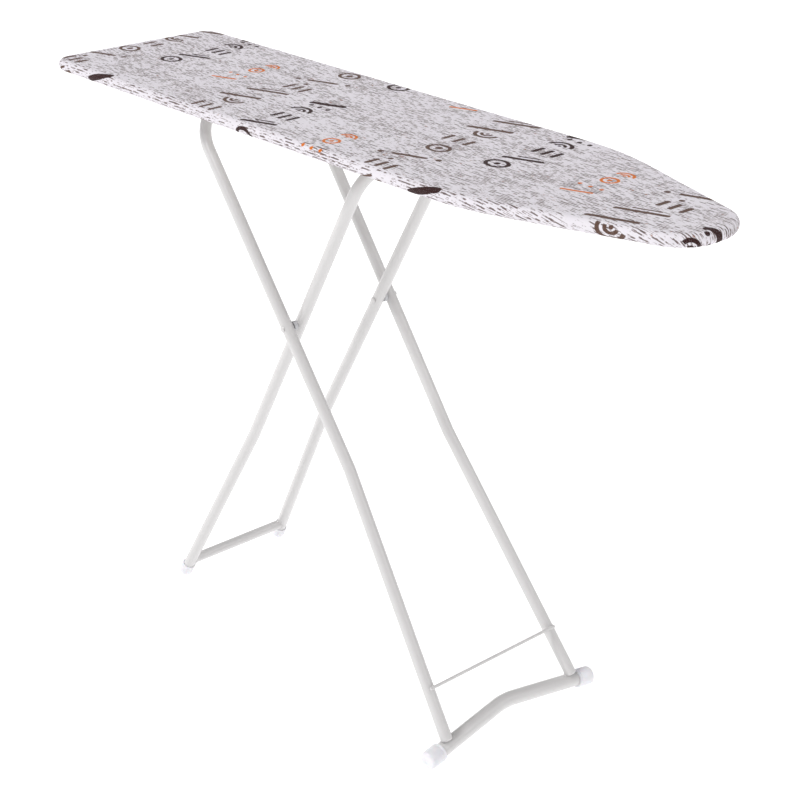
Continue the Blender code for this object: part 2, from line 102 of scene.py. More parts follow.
# Sheet of expanded metal
SHEET_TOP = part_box("mesh_top")[1].z
SHEET_T = 0.0009
SHEET_EDGE = 0.0080
SHEET_BAND = 0.0200
CELL_X = 0.0200
CELL_Y = 0.0096
STRAND = 0.0019
SHEET_LAP = 0.004
BAND_DROP = 0.00002
NOSE_SPREAD = 0.010
RIM_NEAR = 0.0068
RIM_FAR = 0.0106
RIM_R = 0.0009
RIM_GAP = 0.0006

# Leg frames: hinge and pivot from the record's joints, s runs down a leg from the pivot
JOINTS = {joint["name"]: Vector(joint["pos_m"]) for joint in frame["joints"]}
HINGE = JOINTS["outer_frame_fold"]
PIVOT = JOINTS["inner_frame_scissor"]
BAIL_PIVOT = JOINTS["release_bail_pull"]
CROSSBAR_LOW, CROSSBAR_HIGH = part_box("inner_crossbar")
CROSSBAR = (CROSSBAR_LOW + CROSSBAR_HIGH) / 2
OUTER_AXIS = Vector((PIVOT.x - HINGE.x, 0, PIVOT.z - HINGE.z)).normalized()
OUTER_LIFT = Vector((-OUTER_AXIS.z, 0, OUTER_AXIS.x))
INNER_AXIS = Vector((CROSSBAR.x - PIVOT.x, 0, CROSSBAR.z - PIVOT.z)).normalized()
TUBE_R = 0.009
TUBE_SIDES = 36
OUTER_TOP = -0.352
OUTER_BEND = 0.225
OUTER_END = 0.637
OUTER_U_RADIUS = 0.065
OUTER_HALF = (0.1035, 0.0979, 0.1288)
INNER_TOP = -0.318
INNER_BEND = 0.2573
INNER_END = 0.597
INNER_U_RADIUS = 0.060
INNER_HALF = (0.0782, 0.0731, 0.0985)
CROSSBAR_S = 0.5790
CROSSBAR_R = 0.008
BRACE_S = 0.5590
BRACE_R = 0.0024
BRACE_OVERHANG = 0.004
LEG_BEND_R = 0.12
SPUN_END = 0.004

# Foot bar, its caps and the tips
BAR_R = 0.011
BAR_MIDDLE = Vector((0.2762, 0, 0.0333))
BAR_SLOPE = Vector((0.0935, 1, -0.1250))
BAR_BEND = 0.12
BAR_END_Y = 0.1640
CAP_R = 0.014
CAP_INNER_Y = 0.1400
CAP_OUTER_Y = 0.1680
CAP_THROAT = 0.004
CAP_LIP_R = 0.0016
CAP_END_R = 0.0042
TIP_R = 0.0108
TIP_RIM_S = 0.5880
TIP_CENTRE_S = 0.6037
TIP_THROAT = 0.003
TIP_LIP_R = 0.0008
SLEEVE_GAP = 0.0001
GROOVE_FLOOR = 0.0006
WELD_R = 0.0015
WELD_RIPPLE = 0.0024

# Bail, its grip and its spring
BAIL_R = 0.0024
BAIL_HALF = 0.0095
BAIL_RUN_Z = 0.8045
BAIL_LOOP_X = -0.0420
BAIL_EAR_Y = 0.0170
TIE_X = 0.0180
TIE_R = 0.0018
BAIL_DROP_X = 0.016
BAIL_BENDS = (0.0035, 0.006, 0.008, 0.008, 0.006, 0.0035)
GRIP_RIBS = 6
GRIP_RIB_START = 0.009
GRIP_RIB_PITCH = 0.0042
GRIP_RIB_INSET = 0.005
GRIP_RIB_R = 0.0008
COIL_TOP = 0.8350
COIL_LOW = 0.8120
COIL_TURNS = 13
COIL_STEPS = 20
COIL_R = 0.0034
COIL_WIRE_R = 0.0006
COIL_LEAD = 0.0015

# Printed repeat of the cloth
TILE_X = 0.361
TILE_START = -0.51
TILE_Y = 0.305
TILE_LOW_Y = -0.05
TILE_DROP = 0.154


# ------------------------------------------------------------------ mesh helpers

def finish_mesh(name, bm, mat, body, nodes=(), angle=40):
    """Turn a bmesh into a piece that rides on a body and stands for CAD nodes."""
    bmesh.ops.remove_doubles(bm, verts=bm.verts, dist=1e-7)
    bmesh.ops.recalc_face_normals(bm, faces=bm.faces)
    mesh = bpy.data.meshes.new(name)
    bm.to_mesh(mesh)
    bm.free()
    mesh.materials.append(mat)
    mesh.shade_smooth()
    mesh.set_sharp_from_angle(angle=math.radians(angle))
    obj = bpy.data.objects.new(name, mesh)
    bpy.context.scene.collection.objects.link(obj)
    if body is not None:
        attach(obj, body)
    if nodes:
        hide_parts(*nodes)
    return obj


def tube_piece(name, path, radius, sides, mat, body, nodes, closed=False, angle=40):
    """One round tube or wire as a piece of its own."""
    bm = bmesh.new()
    add_tube(bm, path, radius, sides, closed)
    return finish_mesh(name, bm, mat, body, nodes, angle)


def rounded(points, radii, segments):
    """Polyline whose inner corners are arcs of the given radii."""
    points = [Vector(p) for p in points]
    path = [points[0]]
    for i in range(1, len(points) - 1):
        here = points[i]
        before = (points[i - 1] - here).normalized()
        after = (points[i + 1] - here).normalized()
        turn = math.pi - before.angle(after)
        reach = radii[i - 1] * math.tan(turn / 2)
        centre = here + (before + after).normalized() * radii[i - 1] / math.cos(turn / 2)
        start = here + before * reach - centre
        axis = start.cross(here + after * reach - centre).normalized()
        for k in range(segments + 1):
            path.append(centre + Matrix.Rotation(turn * k / segments, 3, axis) @ start)
    path.append(points[-1])
    return path


def skin(bm, loops, closed=False):
    """Quads between neighbouring loops of vertices."""
    last = len(loops) if closed else len(loops) - 1
    for i in range(last):
        a = loops[i]
        b = loops[(i + 1) % len(loops)]
        for k in range(len(a)):
            j = (k + 1) % len(a)
            bm.faces.new((a[k], a[j], b[j], b[k]))


def add_tube(bm, path, radius, sides, closed=False):
    """Round tube along a path; radius is one value or one per point."""
    count = len(path)
    radii = radius if isinstance(radius, list) else [radius] * count
    tangents = []
    for i in range(count):
        ahead = path[(i + 1) % count] if closed else path[min(i + 1, count - 1)]
        behind = path[i - 1] if closed else path[max(i - 1, 0)]
        tangents.append((ahead - behind).normalized())
    side = tangents[0].orthogonal().normalized()
    loops = []
    for i in range(count):
        if i:
            side = tangents[i - 1].rotation_difference(tangents[i]) @ side
        up = tangents[i].cross(side)
        loop = []
        for k in range(sides):
            a = 2 * math.pi * k / sides
            offset = radii[i] * (math.cos(a) * side + math.sin(a) * up)
            loop.append(bm.verts.new(path[i] + offset))
        loops.append(loop)
    skin(bm, loops, closed)
    if not closed:
        bm.faces.new(loops[0])
        bm.faces.new(loops[-1])


def add_lathe(bm, profile, origin, axis, sides=48):
    """Closed solid turned from a (distance, radius) profile about an axis."""
    axis = Vector(axis).normalized()
    side = axis.orthogonal().normalized()
    up = axis.cross(side)
    loops = []
    for t, r in profile:
        loop = []
        for k in range(sides):
            a = 2 * math.pi * k / sides
            offset = r * (math.cos(a) * side + math.sin(a) * up)
            loop.append(bm.verts.new(origin + axis * t + offset))
        loops.append(loop)
    skin(bm, loops)
    bm.faces.new(loops[0])
    bm.faces.new(loops[-1])


def arc(centre, radius, start, stop, steps):
    """Points of a circular arc in a profile plane, angles in degrees."""
    points = []
    for k in range(steps + 1):
        a = math.radians(start + (stop - start) * k / steps)
        points.append((centre[0] + radius * math.cos(a), centre[1] + radius * math.sin(a)))
    return points


def flatten_floor(bm):
    """Lift whatever lies below the floor onto it."""
    for vert in bm.verts:
        vert.co.z = max(vert.co.z, 0.0)


def refined(name, node, mat, body, width, segments=2, angle=30):
    """Copy of a CAD node with its flat faces merged and its edges rounded."""
    bm = bmesh.new()
    bm.from_mesh(frame["nodes"][node].data)
    bmesh.ops.remove_doubles(bm, verts=bm.verts, dist=1e-6)
    bmesh.ops.dissolve_limit(bm, angle_limit=math.radians(1), verts=bm.verts, edges=bm.edges)
    obj = finish_mesh(name, bm, mat, body, [node])
    bevel = obj.modifiers.new("edges", "BEVEL")
    bevel.width = width
    bevel.segments = segments
    bevel.limit_method = "ANGLE"
    bevel.angle_limit = math.radians(angle)
    bevel.harden_normals = True
    return obj


# ------------------------------------------------------------------ shader helpers

def srgb(*values):
    """Linear colour of an 8-bit display colour."""
    out = []
    for value in values:
        c = value / 255
        out.append(c / 12.92 if c <= 0.04045 else ((c + 0.055) / 1.055) ** 2.4)
    return (*out, 1.0)


class Nodes:
    """Adds shader nodes to one tree and wires their inputs."""

    def __init__(self, tree):
        self.tree = tree

    def put(self, socket, value):
        if isinstance(value, bpy.types.NodeSocket):
            self.tree.links.new(value, socket)
        else:
            socket.default_value = value

    def add(self, kind, inputs, out=0, **props):
        node = self.tree.nodes.new(kind)
        for key, value in props.items():
            setattr(node, key, value)
        for key, value in inputs.items():
            self.put(node.inputs[key], value)
        return node.outputs[out]

    def math(self, operation, a, b=0.0, clamp=False):
        return self.add("ShaderNodeMath", {0: a, 1: b}, operation=operation, use_clamp=clamp)

    def vector(self, operation, a, b=(0.0, 0.0, 0.0), out=0):
        return self.add("ShaderNodeVectorMath", {0: a, 1: b}, out, operation=operation)

    def scale(self, a, factor):
        return self.add("ShaderNodeVectorMath", {0: a, "Scale": factor}, operation="SCALE")

    def ramp(self, value, low, high, to_low=0.0, to_high=1.0):
        return self.add("ShaderNodeMapRange", {"Value": value, "From Min": low, "From Max": high,
                                               "To Min": to_low, "To Max": to_high})

    def mix(self, factor, a, b):
        return self.add("ShaderNodeMix", {0: factor, 6: a, 7: b}, 2, data_type="RGBA")

    def noise(self, vector, scale, detail=2.0):
        return self.add("ShaderNodeTexNoise", {"Vector": vector, "Scale": scale,
                                               "Detail": detail})

    def place(self):
        return self.add("ShaderNodeTexCoord", {}, 3)

    def bump(self, height, distance, strength=1.0, below=None):
        inputs = {"Height": height, "Distance": distance, "Strength": strength}
        if below is not None:
            inputs["Normal"] = below
        return self.add("ShaderNodeBump", inputs)


def new_material(name, **values):
    mat = bpy.data.materials.new(name)
    mat.use_nodes = True
    shader = mat.node_tree.nodes["Principled BSDF"]
    nodes = Nodes(mat.node_tree)
    set_input(nodes, shader, **values)
    return mat, nodes, shader


def set_input(nodes, shader, **values):
    for key, value in values.items():
        nodes.put(shader.inputs[key.replace("_", " ")], value)


def powder_coat():
    """Satin paint with a fine orange peel and slightly uneven gloss."""
    mat, n, shader = new_material("powder_coat", Coat_Weight=0.6, Coat_Roughness=0.12,
                                  Specular_IOR_Level=0.7)
    place = n.place()
    cloud = n.noise(place, 5.0, 2.0)
    peel = n.noise(place, 900.0, 1.0)
    light = srgb(210, 208, 208)
    dark = srgb(206, 204, 204)
    set_input(n, shader, Base_Color=n.mix(cloud, dark, light),
              Roughness=n.ramp(n.noise(place, 60.0), 0.3, 0.7, 0.29, 0.33),
              Normal=n.bump(peel, 0.00001, 0.10))
    return mat


def moulded_plastic(name, colour, rough, scatter):
    """Fine spark-eroded mould texture with faint cloudiness."""
    mat, n, shader = new_material(name, Subsurface_Weight=scatter, Subsurface_Scale=0.002)
    place = n.place()
    dull = tuple(c * 0.94 for c in colour[:3]) + (1.0,)
    set_input(n, shader, Base_Color=n.mix(n.noise(place, 40.0), dull, colour),
              Roughness=n.ramp(n.noise(place, 150.0), 0.3, 0.7, rough - 0.05, rough + 0.05),
              Normal=n.bump(n.noise(place, 2600.0, 1.0), 0.00005, 0.5))
    return mat


def zinc_steel():
    """Zinc plate: small crystals in tint and gloss over fine rolling lines."""
    mat, n, shader = new_material("zinc_plate", Metallic=1.0)
    place = n.place()
    crystals = n.add("ShaderNodeTexVoronoi", {"Vector": place, "Scale": 420.0}, 1)
    tone = n.add("ShaderNodeSeparateColor", {"Color": crystals})
    stretched = n.vector("MULTIPLY", place, (60.0, 2400.0, 2400.0))
    lines = n.noise(stretched, 1.0, 2.0)
    set_input(n, shader, Base_Color=n.mix(tone, srgb(186, 188, 190), srgb(206, 208, 209)),
              Roughness=n.ramp(tone, 0.0, 1.0, 0.30, 0.42),
              Normal=n.bump(lines, 0.00004, 0.4))
    return mat


def drawn_steel():
    """Drawn wire with lengthwise streaks."""
    mat, n, shader = new_material("drawn_wire", Metallic=1.0)
    place = n.place()
    streaks = n.noise(n.vector("MULTIPLY", place, (40.0, 1500.0, 1500.0)), 1.0, 2.0)
    set_input(n, shader, Base_Color=n.mix(streaks, srgb(128, 128, 132), srgb(160, 160, 163)),
              Roughness=n.ramp(streaks, 0.3, 0.7, 0.26, 0.40),
              Normal=n.bump(streaks, 0.00004, 0.4))
    return mat


def felt():
    """Matted fibre with speckles and a soft sheen."""
    mat, n, shader = new_material("felt", Roughness=0.95, Sheen_Weight=0.4)
    place = n.place()
    fibres = n.noise(place, 900.0, 4.0)
    clumps = n.noise(place, 70.0, 3.0)
    colour = n.mix(clumps, srgb(226, 222, 214), srgb(240, 237, 230))
    set_input(n, shader, Base_Color=n.mix(n.ramp(fibres, 0.62, 0.72), colour,
                                          srgb(190, 184, 172)),
              Normal=n.bump(fibres, 0.0006, 0.8))
    return mat


def braid(name, colour, pitch):
    """Thread or elastic: diagonal ribs from two crossed sine waves, with painted shade between the
    ribs.
    """
    mat, n, shader = new_material(name, Roughness=0.8, Sheen_Weight=0.3)
    place = n.place()
    ribs = []
    for direction in ((1.0, 1.0, 1.0), (1.0, -1.0, 1.0)):
        along = n.vector("DOT_PRODUCT", place, direction, 1)
        ribs.append(n.math("SINE", n.math("MULTIPLY", along, 2 * math.pi / pitch)))
    weave = n.math("MAXIMUM", *ribs)
    # Painted shade: the colour darkens to this tone in the hollows between the ribs, where the
    # weave's height is lowest.
    dark = tuple(c * 0.8 for c in colour[:3]) + (1.0,)
    set_input(n, shader, Base_Color=n.mix(n.ramp(weave, -0.5, 0.9), dark, colour),
              Normal=n.bump(weave, 0.0002, 0.7))
    return mat


# ------------------------------------------------------------------ printed cotton

def group_tree(name, inputs):
    tree = bpy.data.node_groups.new(name, "ShaderNodeTree")
    for key, kind in inputs:
        tree.interface.new_socket(key, in_out="INPUT", socket_type="NodeSocket" + kind)
    tree.interface.new_socket("Distance", in_out="OUTPUT", socket_type="NodeSocketFloat")
    source = tree.nodes.new("NodeGroupInput")
    sink = tree.nodes.new("NodeGroupOutput")
    return tree, Nodes(tree), source.outputs, sink.inputs[0]


def stroke_group():
    """Distance from a point to a round-ended stroke from A to B."""
    tree, n, given, result = group_tree("print_stroke", [("Point", "Vector"), ("A", "Vector"),
                                                         ("B", "Vector"), ("Radius", "Float")])
    from_a = n.vector("SUBTRACT", given["Point"], given["A"])
    span = n.vector("SUBTRACT", given["B"], given["A"])
    along = n.vector("DOT_PRODUCT", from_a, span, 1)
    size = n.math("MAXIMUM", n.vector("DOT_PRODUCT", span, span, 1), 1e-9)
    nearest = n.scale(span, n.math("DIVIDE", along, size, clamp=True))
    gap = n.vector("LENGTH", n.vector("SUBTRACT", from_a, nearest), out=1)
    n.put(result, n.math("SUBTRACT", gap, given["Radius"]))
    return tree


def ring_group():
    """Distance from a point to an oval ring, kept where it lies ahead of the cut line."""
    tree, n, given, result = group_tree("print_ring", [("Point", "Vector"), ("Centre", "Vector"),
                                                       ("Radii", "Vector"), ("Half", "Float"),
                                                       ("Cut", "Vector")])
    offset = n.vector("SUBTRACT", given["Point"], given["Centre"])
    reach = n.vector("LENGTH", n.vector("DIVIDE", offset, given["Radii"]), out=1)
    size = n.add("ShaderNodeSeparateXYZ", {0: given["Radii"]})
    line = n.math("ABSOLUTE", n.math("MULTIPLY", n.math("SUBTRACT", reach, 1.0), size))
    side = n.vector("DOT_PRODUCT", offset, given["Cut"], 1)
    beyond = n.math("SUBTRACT", side, INK_EDGE)
    n.put(result, n.math("MAXIMUM", n.math("SUBTRACT", line, given["Half"]), beyond))
    return tree


SLASH_LEAN = 0.35
TWIN_GAP = 0.011
STACK_HALF = 0.009
WHOLE = (0, 0)


def dot(u, v, radius):
    return [((u, v), (u, v), radius)]


def slash(u, v, half, radius):
    """Stroke along the board that leans sideways."""
    lean = SLASH_LEAN * half
    return [((u - half, v - lean), (u + half, v + lean), radius)]


def twin(u, v, half, radius):
    """Leaning stroke with a shorter, thinner one beside it."""
    return slash(u, v, half, radius) + slash(u, v + TWIN_GAP, half * 0.55, radius / 2)


def stack(u, v, half, radius):
    """Three crosswise dashes, one above the other."""
    rows = [u - half, u, u + half]
    return [((row, v - STACK_HALF), (row, v + STACK_HALF), radius) for row in rows]


def beaded(u, v, half, radius):
    """Leaning stroke with a dot beyond each end."""
    reach = half + 0.0185
    lean = SLASH_LEAN * reach
    ends = dot(u - reach, v - lean, 0.0044) + dot(u + reach, v + lean, 0.0044)
    return slash(u, v, half, radius) + ends


def ripple(u, v, size, cut):
    """Two half rings, one inside the other, open to one side."""
    return [((u, v), (size, size * 0.88), size / 6, cut),
            ((u, v), (size * 0.47, size * 0.40), size / 7, cut)]


STROKES = {
    "maroon": (dot(-0.4740, -0.0150, 0.0045) + twin(-0.464, 0.022, 0.025, 0.0036)
               + stack(-0.464, 0.068, 0.017, 0.0036) + dot(-0.4745, 0.102, 0.0028)
               + dot(-0.486, 0.134, 0.0038) + dot(-0.468, 0.134, 0.0038)
               + dot(-0.450, 0.134, 0.0038) + slash(-0.471, 0.152, 0.0235, 0.0050)),
    "orange": (slash(-0.329, -0.022, 0.019, 0.0024) + dot(-0.347, 0.004, 0.0030)
               + dot(-0.329, 0.004, 0.0030) + dot(-0.311, 0.004, 0.0030)
               + dot(-0.3296, 0.0402, 0.0036) + dot(-0.3297, 0.068, 0.0024)),
    "taupe": (twin(-0.223, -0.022, 0.031, 0.0036) + stack(-0.209, 0.022, 0.018, 0.0036)
              + dot(-0.218, 0.046, 0.0040) + beaded(-0.2115, 0.073, 0.022, 0.0036)
              + dot(-0.2110, 0.125, 0.0052) + stack(-0.221, 0.171, 0.020, 0.0034)
              + dot(-0.216, 0.220, 0.0030) + slash(-0.2295, 0.238, 0.030, 0.0038)),
}
RINGS = {
    "maroon": [((-0.4740, -0.0150), (0.0165, 0.0135), 0.0032, WHOLE)]
              + ripple(-0.4745, 0.102, 0.018, (0, -1)),
    "orange": [((-0.3296, 0.0402), (0.0110, 0.0105), 0.0022, WHOLE)]
              + ripple(-0.3297, 0.068, 0.013, (0, -1)),
    "taupe": [((-0.2110, 0.1250), (0.0165, 0.0135), 0.0030, WHOLE)]
             + ripple(-0.216, 0.220, 0.018, (0, 1)),
}
INKS = {"maroon": srgb(46, 14, 12), "orange": srgb(220, 118, 34), "taupe": srgb(96, 72, 62)}
DASHES = [(0.0021, 0.0100, ((158, 146, 146), (112, 96, 94)), 0.515),
          (0.0042, 0.0140, ((120, 103, 100), (62, 42, 38)), 0.495),
          (0.0063, 0.0120, ((170, 124, 104), (138, 80, 58)), 0.66)]
INK_EDGE = 0.00035
WOBBLE = 0.0003
WOBBLE_PITCH = 0.034
INK_JITTER = 0.0011
PATCHINESS = 0.28
SCRIPT_U = -0.2962
SCRIPT_V = 0.1088
SCRIPT_HALF = 0.0234
SCRIPT_LOOP = 0.0061
SCRIPT_SWING = 0.0031


def tile_point(n, u, v):
    """Fold the cloth's u, v into one repeat, with each repeat dropped sideways."""
    step = n.math("FLOOR", n.math("DIVIDE", n.math("SUBTRACT", u, TILE_START), TILE_X))
    along = n.math("SUBTRACT", u, n.math("MULTIPLY", step, TILE_X))
    dropped = n.math("ADD", v, n.math("MULTIPLY", step, TILE_DROP))
    across = n.add("ShaderNodeMath", {0: dropped, 1: TILE_LOW_Y, 2: TILE_LOW_Y + TILE_Y},
                   operation="WRAP")
    sway = n.math("SINE", n.math("MULTIPLY", along, 2 * math.pi / WOBBLE_PITCH))
    across = n.math("ADD", across, n.math("MULTIPLY", sway, WOBBLE))
    return n.add("ShaderNodeCombineXYZ", {0: along, 1: across})


def ink_mask(n, point, ink, groups):
    """Coverage of one ink: the nearest of its strokes and rings."""
    found = []
    for a, b, radius in STROKES[ink]:
        inputs = {"Point": point, "A": (*a, 0), "B": (*b, 0), "Radius": radius}
        found.append(n.add("ShaderNodeGroup", inputs, node_tree=groups[0]))
    for centre, radii, half, cut in RINGS[ink]:
        inputs = {"Point": point, "Centre": (*centre, 0), "Radii": (*radii, 1), "Half": half,
                  "Cut": (*cut, 0)}
        found.append(n.add("ShaderNodeGroup", inputs, node_tree=groups[1]))
    nearest = found[0]
    for distance in found[1:]:
        nearest = n.math("MINIMUM", nearest, distance)
    return n.ramp(nearest, INK_EDGE, -INK_EDGE)


def dash_noise(n, u, v, pitch, length):
    """Row mask and along-row noise of broken dashes, one row every pitch across v."""
    across = n.math("DIVIDE", v, pitch)
    row = n.math("FLOOR", across)
    off_centre = n.math("ABSOLUTE", n.math("SUBTRACT", n.math("FRACT", across), 0.5))
    seed = n.add("ShaderNodeCombineXYZ", {0: n.math("DIVIDE", u, length),
                                          1: n.math("MULTIPLY", row, 7.31)})
    return n.ramp(off_centre, 0.23, 0.15), n.noise(seed, 1.0, 3.0)


def script_mask(n, point):
    """A short, tiny looping line beside the orange marks."""
    split = n.add("ShaderNodeSeparateXYZ", {0: point}).node.outputs
    u = split[0]
    v = split[1]
    turns = n.math("SINE", n.math("MULTIPLY", v, 2 * math.pi / SCRIPT_LOOP))
    middle = n.math("MULTIPLY", turns, SCRIPT_SWING)
    line = n.math("ABSOLUTE", n.math("SUBTRACT", n.math("SUBTRACT", u, SCRIPT_U), middle))
    off_centre = n.math("ABSOLUTE", n.math("SUBTRACT", v, SCRIPT_V))
    inside = n.math("LESS_THAN", off_centre, SCRIPT_HALF)
    return n.math("MULTIPLY", n.ramp(line, 0.0011, 0.0004), inside)


def dashed_ground(n, cloth, u, v):
    """Pale cloth under three sizes of broken dashes, denser in patches."""
    colour = n.mix(n.noise(cloth, 3.0), srgb(233, 228, 235), srgb(239, 235, 241))
    patches = n.noise(n.vector("MULTIPLY", cloth, (9.0, 26.0, 1.0)), 1.0, 3.0)
    uneven = n.math("MULTIPLY", n.math("SUBTRACT", patches, 0.5), PATCHINESS)
    for pitch, length, ink, cover in DASHES:
        band, along = dash_noise(n, n.math("ADD", u, 90 * pitch), v, pitch, length)
        level = n.math("ADD", along, uneven)
        mask = n.math("MULTIPLY", band, n.ramp(level, cover, cover + 0.07))
        tone = n.mix(n.ramp(level, cover, cover + 0.24), srgb(*ink[0]), srgb(*ink[1]))
        colour = n.mix(n.math("MULTIPLY", mask, 0.95), colour, tone)
    return colour


def printed_marks(n, cloth, point, colour):
    """The three inks and the small script over a ground colour, thinned in specks."""
    groups = (stroke_group(), ring_group())
    speckle = n.ramp(n.noise(cloth, 700.0, 1.0), 0.30, 0.45, 0.86, 1.0)
    for ink in ("taupe", "orange", "maroon"):
        mask = n.math("MULTIPLY", ink_mask(n, point, ink, groups), speckle)
        colour = n.mix(mask, colour, INKS[ink])
    script = n.math("MULTIPLY", script_mask(n, point), 0.75)
    return n.mix(script, colour, INKS["maroon"])


def printed_cotton():
    """Plain weave with the printed repeat and painted shade in its hollows, over softly uneven
    padding.
    """
    mat, n, shader = new_material("printed_cotton", Roughness=0.88, Sheen_Weight=0.08,
                                  Sheen_Roughness=0.5, Specular_IOR_Level=0.15)
    cloth = n.add("ShaderNodeUVMap", {}, uv_map="cloth")
    split = n.add("ShaderNodeSeparateXYZ", {0: cloth}).node.outputs
    u = split[0]
    v = split[1]
    jitter = n.add("ShaderNodeTexNoise", {"Vector": cloth, "Scale": 420.0, "Detail": 1.0}, 1)
    shift = n.scale(n.vector("SUBTRACT", jitter, (0.5, 0.5, 0.5)), INK_JITTER)
    point = n.vector("ADD", tile_point(n, u, v), shift)
    colour = printed_marks(n, cloth, point, dashed_ground(n, cloth, u, v))
    threads = []
    for axis in (u, v):
        threads.append(n.math("SINE", n.math("MULTIPLY", axis, 2 * math.pi / THREAD_PITCH)))
    weave = n.math("MULTIPLY", *threads)
    # Painted shade: the colour darkens towards srgb(120, 112, 114) in the hollows of the weave,
    # where its height is lowest.
    colour = n.mix(n.ramp(weave, -1.0, 1.0, 0.07, 0.0), colour, srgb(120, 112, 114))
    soft = n.bump(n.noise(cloth, 26.0, 3.0), 0.0016, 0.35)
    set_input(n, shader, Base_Color=colour, Normal=n.bump(weave, 0.00010, 0.6, soft))
    return mat


# ------------------------------------------------------------------ board outline

def side_chain():
    """(point, normal) along the board's right side, from the tail's end to the nose's end."""
    corners = [(-HALF_LENGTH, -HALF_WIDTH, TAIL_RADIUS, 12),
               (TAPER_X, -HALF_WIDTH, TAPER_RADIUS, 8),
               (HALF_LENGTH, -NOSE_HALF, NOSE_RADIUS, 18)]
    ends = [Vector((-HALF_LENGTH, 0))]
    ends += [Vector(corner[:2]) for corner in corners]
    ends.append(Vector((HALF_LENGTH, 0)))
    chain = []
    for i, (_, _, radius, steps) in enumerate(corners):
        here = ends[i + 1]
        before = (ends[i] - here).normalized()
        after = (ends[i + 2] - here).normalized()
        turn = math.pi - before.angle(after)
        centre = here + (before + after).normalized() * radius / math.cos(turn / 2)
        first = here + before * radius * math.tan(turn / 2) - centre
        base = math.atan2(first.y, first.x)
        if chain:
            chain += between(chain[-1], centre + first)
        for k in range(steps + 1):
            a = base + turn * k / steps
            normal = Vector((math.cos(a), math.sin(a)))
            chain.append((centre + radius * normal, normal))
    return chain


def between(start, stop):
    """Evenly spaced points on the straight run from the last arc to the next."""
    point, normal = start
    count = max(1, round((stop - point).length / SIDE_STEP))
    return [(point.lerp(stop, k / count), normal) for k in range(1, count)]


CHAIN = side_chain()


def edge_ring(inset):
    """Points and normals all round the board at an inset; the two ends get COLUMNS steps."""
    right = [(p - n * inset, n) for p, n in CHAIN]
    left = [(Vector((p.x, -p.y)), Vector((n.x, -n.y))) for p, n in reversed(right)]
    ring = list(right)
    ring += end_points(right[-1], left[0])
    ring += left
    ring += end_points(left[-1], right[0])
    return ring


def end_points(a, b):
    """Evenly spaced points across one flat end."""
    return [(a[0].lerp(b[0], k / COLUMNS), a[1]) for k in range(1, COLUMNS)]


def softness(x, y):
    """Small, smooth unevenness of the padding, from about -1 to 1."""
    return (0.5 * math.sin(17 * x + 5 * y + 0.4) + 0.3 * math.sin(31 * x - 23 * y + 1.3)
            + 0.2 * math.sin(9 * x + 47 * y + 2.2))


def ring_lengths(ring):
    """Distance round the ring at each of its points."""
    total = 0.0
    lengths = []
    for i, (point, _) in enumerate(ring):
        if i:
            total += (point - ring[i - 1][0]).length
        lengths.append(total)
    return lengths


def gather(x, y, length):
    """Depth of the hem's gathers: shallow along the sides, deep round the corners."""
    at_nose = max(0.0, (x - NOSE_GATHERS_X) / NOSE_GATHERS_RUN)
    at_tail = max(0.0, (-x - TAIL_GATHERS_X) / TAIL_GATHERS_RUN)
    depth = GATHER_SIDE + (GATHER_CORNER - GATHER_SIDE) * min(1.0, max(at_nose, at_tail))
    drift = 1.5 * math.sin(23 * x + 9 * y) + 0.9 * math.sin(61 * x - 17 * y)
    wave = 0.5 + 0.5 * math.sin(2 * math.pi * length / GATHER_PITCH + drift)
    return depth * wave * (0.7 + 0.3 * math.sin(13 * x + 40 * y))


def cover_profile():
    """(inset, z, distance along the cloth, share of the gathers) from the top edge to the hem."""
    profile = []
    for inset, z in arc((EDGE_R, EDGE_Z), EDGE_R, 90, 270, EDGE_STEPS):
        share = max(0.0, (EDGE_Z - z) / EDGE_R) * EDGE_SHARE
        profile.append((inset, z, EDGE_R * math.pi * len(profile) / EDGE_STEPS, share))
    run = EDGE_R * math.pi
    low = EDGE_Z - EDGE_R
    for k in range(1, HEM_STEPS + 1):
        part = k / HEM_STEPS
        inset = EDGE_R + (HEM_INSET - EDGE_R) * part
        profile.append((inset, low, run + inset - EDGE_R, gather_share(part)))
    run += HEM_INSET - EDGE_R
    for k in range(1, CASING_STEPS + 1):
        turn = math.radians(CASING_TURN * k)
        inset = HEM_INSET + CASING_R * math.cos(turn - math.pi / 2)
        z = low + CASING_R + CASING_R * math.sin(turn - math.pi / 2)
        profile.append((inset, z, run + CASING_R * turn, 1.0))
    return profile


def gather_share(part):
    """Share of the gathers a part of the way from the turned edge to the hem."""
    return EDGE_SHARE + (1 - EDGE_SHARE) * part


def hem_point(point, normal, length, inset, z, share):
    """Place on the wrapped cloth, with its gathers and the padding's softness."""
    flat = point + normal * (EDGE_R - inset)
    puff = SOFT_DEPTH * softness(2 * flat.x, 2 * flat.y) * (1 - share)
    drop = gather(flat.x, flat.y, length) * share
    return Vector((flat.x + normal.x * puff, flat.y + normal.y * puff, z - drop))


def hem_path(inset, z, share):
    """Closed path along the hem at an inset."""
    ring = edge_ring(EDGE_R)
    return [hem_point(point, normal, length, inset, z, share)
            for (point, normal), length in zip(ring, ring_lengths(ring))]


def cover_rows(bm, place):
    """Rows of vertices across the flat top; place keeps their spots on the flat cloth."""
    rows = []
    for point, normal in CHAIN:
        inner = point - normal * EDGE_R
        row = []
        for j in range(COLUMNS + 1):
            t = -1 + 2 * j / COLUMNS
            y = -t * inner.y
            fade = min(1.0, (1 - abs(t)) * 6, (HALF_LENGTH - abs(inner.x)) * 14)
            rise = SOFT_DEPTH * softness(inner.x, y) * max(0.0, fade)
            vert = bm.verts.new((inner.x, y, TOP_Z - SOFT_DEPTH + rise))
            place[vert] = (inner.x, y)
            row.append(vert)
        rows.append(row)
    return rows


